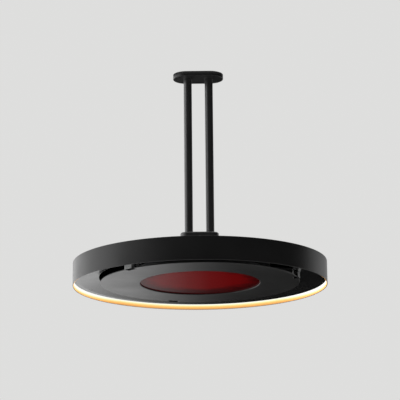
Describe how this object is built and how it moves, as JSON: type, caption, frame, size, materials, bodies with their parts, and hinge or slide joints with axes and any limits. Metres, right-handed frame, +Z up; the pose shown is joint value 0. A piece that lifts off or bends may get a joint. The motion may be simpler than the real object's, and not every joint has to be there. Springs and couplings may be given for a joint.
{
  "type": "hanging patio heater",
  "caption": "Round black ceiling-hung patio heater: flat drum on twin tubes, red radiant window underneath, glowing light band inside its rim.",
  "frame": {"origin": "centre of the ceiling bracket's top face, where it meets the ceiling", "axes": "+Z up into the ceiling, X along the pair of tubes, -Y towards the viewer of the picture"},
  "size_m": [0.92, 0.92, 0.802],
  "materials": {
    "black_coat": "satin black powder coat",
    "coated_steel": "matt black coat",
    "zinc_steel": "zinc plated",
    "block_alloy": "machined",
    "seal_rubber": "matt",
    "bush_plastic": "moulded, matt",
    "light_guide": "frosted, lit warm white",
    "led_chip": "lit",
    "led_board": "solder resist",
    "window_glass": "dark red glass ceramic",
    "element_sheath": "glowing red",
    "reflector": "bright rolled sheet",
    "fibre_board": "pressed mineral fibre felt",
    "fired_ceramic": "unglazed",
    "cutout_can": "plain"
  },
  "bodies": {
    "frame": {"ceiling_bracket": "coated_steel", "tube_left": "black_coat", "tube_right": "black_coat", "tube_top_screws": "zinc_steel", "tube_base_block": "block_alloy", "tube_base_screws": "zinc_steel", "base_gasket": "seal_rubber", "base_bolts": "zinc_steel", "base_nuts": "zinc_steel", "cable_gland": "bush_plastic", "terminal_block": "bush_plastic", "drum_wall": "black_coat", "drum_top": "black_coat", "top_screws": "zinc_steel", "carrier_spider": "coated_steel", "ring_hangers": "coated_steel", "hanger_rivets": "zinc_steel", "ring_plate": "black_coat", "ring_studs": "zinc_steel", "ring_nuts": "zinc_steel", "light_guide_ring": "light_guide", "led_chips": "led_chip", "led_strip": "led_board", "led_carrier_ring": "block_alloy", "light_driver": "bush_plastic", "control_module": "bush_plastic", "panel_hooks": "zinc_steel", "heat_shield": "coated_steel", "shield_spacers": "zinc_steel", "shield_screws": "zinc_steel"},
    "canopy": {"ceiling_canopy": "black_coat", "canopy_bushes": "bush_plastic", "canopy_weld_nuts": "zinc_steel", "canopy_grub_screws": "zinc_steel"},
    "hub_cover": {"hub_sleeve": "black_coat", "hub_bushes": "bush_plastic"},
    "cassette": {"heater_panel": "black_coat", "window_gasket": "seal_rubber", "window_glass": "window_glass", "window_frame": "coated_steel", "cassette_studs": "zinc_steel", "cassette_nuts": "zinc_steel", "reflector_dish": "reflector", "heating_element": "element_sheath", "element_supports": "zinc_steel", "element_bushes": "fired_ceramic", "insulation_disc": "fibre_board", "cassette_lid": "coated_steel", "thermal_cutout": "cutout_can"}
  },
  "joints": [
    {"name": "canopy_slide", "type": "slide", "parent": "frame", "child": "canopy", "axis": [0, 0, 1], "range_m": [-0.3, 0]},
    {"name": "hub_cover_slide", "type": "slide", "parent": "frame", "child": "hub_cover", "axis": [0, 0, 1], "range_m": [0, 0.25]},
    {"name": "panel_turn", "type": "hinge", "parent": "frame", "child": "cassette", "pos_m": [0, 0, -0.791], "axis": [0, 0, 1], "range_deg": [0, 5]}
  ]
}
